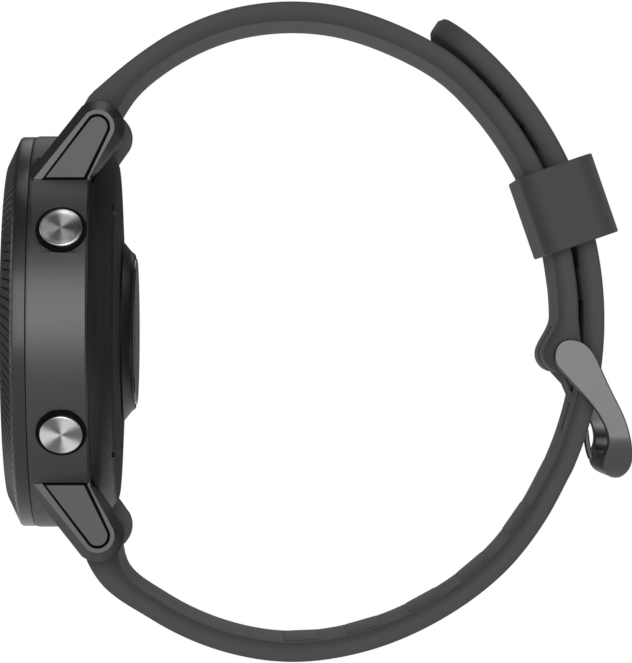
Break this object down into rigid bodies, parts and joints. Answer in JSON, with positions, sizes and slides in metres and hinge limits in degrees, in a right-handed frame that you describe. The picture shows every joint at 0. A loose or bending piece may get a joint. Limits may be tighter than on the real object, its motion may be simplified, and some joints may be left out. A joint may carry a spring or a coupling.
{
  "type": "gps running watch",
  "caption": "Round sports watch with a grooved bezel, spun metal side buttons, rear pulse sensor and a closed silicone band with sliding keeper and pin buckle.",
  "frame": {"origin": "centre of the wrist opening, midway across the band", "axes": "+X from the watch face to the buckle, +Y to the 9 o'clock side, +Z to 12 o'clock"},
  "size_m": [0.0738, 0.0468, 0.0777],
  "materials": {
    "case_gunmetal": "satin",
    "bezel_gloss_black": "gloss",
    "display_glass": "polished",
    "seal_rubber": "matte",
    "display_black": "gloss",
    "black_plastic": "matte",
    "flex_film": "satin",
    "circuit_board": "satin",
    "steel_sheet": "satin",
    "antenna_ceramic": "satin",
    "battery_foil": "satin",
    "foam": "matte",
    "rotor_weight": "satin",
    "recess_black": "matte",
    "spun_steel": "spun",
    "cover_plastic": "satin",
    "screw_black": "satin",
    "sensor_gloss_black": "gloss",
    "sensor_glass": "polished",
    "led_resin": "gloss",
    "contact_gold": "satin",
    "inlay_grey": "satin",
    "bar_steel": "satin",
    "strap_silicone": "matte",
    "keeper_silicone": "matte",
    "buckle_gunmetal": "polished",
    "prong_steel": "polished"
  },
  "bodies": {
    "case": {"mid_case": "case_gunmetal", "bezel": "bezel_gloss_black", "front_glass": "display_glass", "glass_gasket": "seal_rubber", "display_panel": "display_black", "display_frame": "black_plastic", "display_flex_cable": "flex_film", "inner_frame": "black_plastic", "main_board": "circuit_board", "shield_can": "steel_sheet", "gps_antenna": "antenna_ceramic", "battery": "battery_foil", "battery_foam_pad": "foam", "vibration_motor_can": "steel_sheet", "tact_switch_upper": "steel_sheet", "tact_switch_lower": "steel_sheet", "button_tube_upper": "recess_black", "button_tube_lower": "recess_black", "button_seal_upper": "seal_rubber", "button_seal_lower": "seal_rubber", "back_cover": "cover_plastic", "back_cover_gasket": "seal_rubber", "back_cover_screws": "screw_black", "sensor_housing": "sensor_gloss_black", "sensor_lens": "sensor_glass", "sensor_board": "circuit_board", "sensor_leds": "led_resin", "charging_contacts": "contact_gold", "lug_inlay_upper_near": "inlay_grey", "lug_inlay_upper_far": "inlay_grey", "lug_inlay_lower_near": "inlay_grey", "lug_inlay_lower_far": "inlay_grey", "spring_bar_upper": "bar_steel", "spring_bar_lower": "bar_steel"},
    "upper_button": {"button_upper": "spun_steel", "button_clip_upper": "steel_sheet"},
    "lower_button": {"button_lower": "spun_steel", "button_clip_lower": "steel_sheet"},
    "motor_rotor": {"vibration_motor_rotor": "rotor_weight"},
    "upper_strap": {"strap_upper_lug_section": "strap_silicone"},
    "upper_strap_end": {"strap_upper_buckle_section": "strap_silicone", "strap_lower_free_end": "strap_silicone", "buckle_spring_bar": "bar_steel"},
    "lower_strap": {"strap_lower_lug_section": "strap_silicone"},
    "keeper": {"keeper_loop": "keeper_silicone"},
    "buckle": {"buckle_frame": "buckle_gunmetal"},
    "prong": {"buckle_prong": "prong_steel"}
  },
  "joints": [
    {"name": "upper_button_press", "type": "slide", "parent": "case", "child": "upper_button", "axis": [0, 0.866, -0.5], "range_m": [0, 0.0006], "stiffness_N_per_m": 2500, "springref_m": -0.0003},
    {"name": "lower_button_press", "type": "slide", "parent": "case", "child": "lower_button", "axis": [0, 0.866, 0.5], "range_m": [0, 0.0006], "stiffness_N_per_m": 2500, "springref_m": -0.0003},
    {"name": "vibration_motor_spin", "type": "hinge", "parent": "case", "child": "motor_rotor", "pos_m": [-0.0331, 0, -0.0154], "axis": [1, 0, 0], "continuous": true},
    {"name": "upper_lug_hinge", "type": "hinge", "parent": "case", "child": "upper_strap", "pos_m": [-0.02906, 0, 0.0238], "axis": [0, 1, 0], "range_deg": [-5, 6], "stiffness_Nm_per_rad": 1.2},
    {"name": "upper_strap_flex", "type": "hinge", "parent": "upper_strap", "child": "upper_strap_end", "pos_m": [-0.0065, 0, 0.03776], "axis": [0, 1, 0], "range_deg": [-6, 6], "stiffness_Nm_per_rad": 0.6},
    {"name": "lower_lug_hinge", "type": "hinge", "parent": "case", "child": "lower_strap", "pos_m": [-0.02906, 0, -0.0238], "axis": [0, 1, 0], "range_deg": [-4, 4], "stiffness_Nm_per_rad": 0.6},
    {"name": "keeper_slide", "type": "hinge", "parent": "upper_strap_end", "child": "keeper", "pos_m": [-0.01326, 0, 0.00135], "axis": [0, -1, 0], "range_deg": [-6, 24]},
    {"name": "buckle_hinge", "type": "hinge", "parent": "upper_strap_end", "child": "buckle", "pos_m": [0.0258, 0, -0.0028], "axis": [0, -1, 0], "range_deg": [0, 80]},
    {"name": "prong_hinge", "type": "hinge", "parent": "upper_strap_end", "child": "prong", "pos_m": [0.0258, 0, -0.0028], "axis": [0, -1, 0], "range_deg": [-2, 0]}
  ],
  "couplings": [
    {"joint": "upper_strap_flex", "follows": "upper_lug_hinge", "ratio": -0.8163},
    {"joint": "lower_lug_hinge", "follows": "upper_lug_hinge", "ratio": 0.5208}
  ]
}
